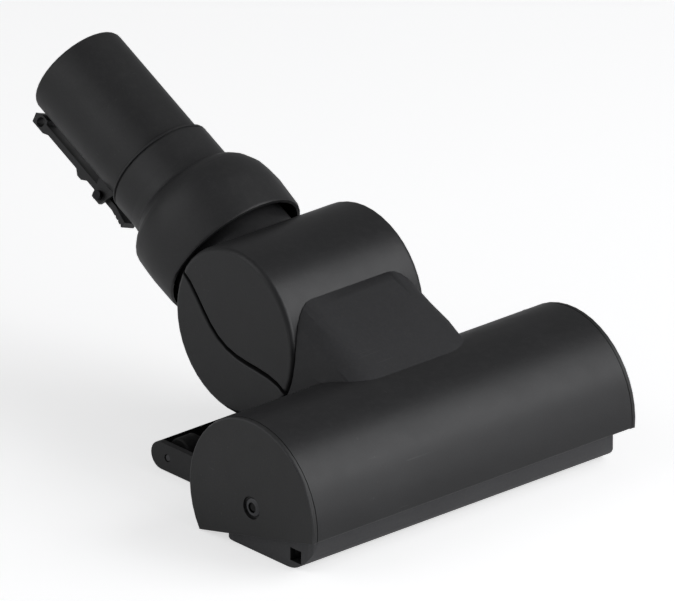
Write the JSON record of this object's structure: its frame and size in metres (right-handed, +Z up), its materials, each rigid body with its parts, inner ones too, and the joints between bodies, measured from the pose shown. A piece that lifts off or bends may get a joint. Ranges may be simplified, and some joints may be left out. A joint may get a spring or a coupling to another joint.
{
  "type": "steam cleaner turbo brush",
  "caption": "Turbo brush head with a belt-driven bristle roller, a neck duct, a pitching drum elbow, a swivelling suction tube with a latch lever, and a rear skid on rollers.",
  "frame": {"origin": "On the floor, under the middle of the land behind the suction mouth of the sole plate", "axes": "+Z up, X along the head with the plain end caps at both ends, +Y from the head towards the suction tube"},
  "size_m": [0.155, 0.2262, 0.1244],
  "materials": {
    "bristle": "nylon bristle rows",
    "bronze": "sintered bronze",
    "charcoal": "moulded black ABS, satin",
    "inner": "black ABS",
    "matte": "moulded black ABS, fine texture",
    "rubber": "black rubber",
    "steel": "plain steel",
    "turbine": "grey acetal"
  },
  "bodies": {
    "head": {"head_cover": "charcoal", "left_end_cap": "charcoal", "right_end_cap": "charcoal", "end_cap_screw_left": "steel", "end_cap_screw_right": "steel", "roller_bearing_left": "bronze", "roller_bearing_right": "bronze", "sole_plate": "matte", "sole_screw_1": "steel", "sole_screw_2": "steel", "sole_screw_3": "steel", "sole_screw_4": "steel", "neck_duct": "matte", "drive_belt": "rubber", "rear_skid": "charcoal", "skid_screw_left": "steel", "skid_screw_right": "steel", "wheel_pin_left": "steel", "wheel_pin_right": "steel", "turbine_bearing_left": "steel", "turbine_bearing_right": "steel"},
    "brush": {"brush_core": "inner", "brush_pulley": "turbine", "brush_axle": "steel", "bristles_left_a": "bristle", "bristles_left_b": "bristle", "bristles_right_a": "bristle", "bristles_right_b": "bristle"},
    "turbine": {"turbine_wheel": "turbine", "turbine_shaft": "steel", "turbine_pinion": "bronze"},
    "elbow": {"drum_upper_shell": "charcoal", "drum_lower_shell": "charcoal"},
    "tube": {"swivel_collar": "charcoal", "upper_tube": "charcoal", "swivel_ring": "turbine", "swivel_seal": "rubber", "latch_pin": "steel"},
    "latch": {"latch_lever": "charcoal"},
    "wheel_l": {"wheel_left": "rubber"},
    "wheel_r": {"wheel_right": "rubber"}
  },
  "joints": [
    {"name": "brush_spin", "type": "hinge", "parent": "head", "child": "brush", "pos_m": [0, -0.0155, 0.0182], "axis": [1, 0, 0], "continuous": true},
    {"name": "turbine_spin", "type": "hinge", "parent": "head", "child": "turbine", "pos_m": [0, 0.04548, 0.05298], "axis": [1, 0, 0], "continuous": true},
    {"name": "elbow_pitch", "type": "hinge", "parent": "head", "child": "elbow", "pos_m": [0, 0.04548, 0.05298], "axis": [1, 0, 0], "range_deg": [0, 40]},
    {"name": "tube_swivel", "type": "hinge", "parent": "elbow", "child": "tube", "pos_m": [0, 0.04894, 0.04633], "axis": [0, 0.887, 0.4617], "continuous": true},
    {"name": "latch_release", "type": "hinge", "parent": "tube", "child": "latch", "pos_m": [-0.00968, 0.1388, 0.06971], "axis": [-0.9063, -0.1951, 0.3749], "range_deg": [0, 4], "stiffness_Nm_per_rad": 0.08, "springref_deg": -2.86},
    {"name": "wheel_left_spin", "type": "hinge", "parent": "head", "child": "wheel_l", "pos_m": [-0.043, 0.05775, 0.00575], "axis": [1, 0, 0], "continuous": true},
    {"name": "wheel_right_spin", "type": "hinge", "parent": "head", "child": "wheel_r", "pos_m": [0.043, 0.05775, 0.00575], "axis": [1, 0, 0], "continuous": true}
  ],
  "couplings": [
    {"joint": "turbine_spin", "follows": "brush_spin", "ratio": 2}
  ]
}
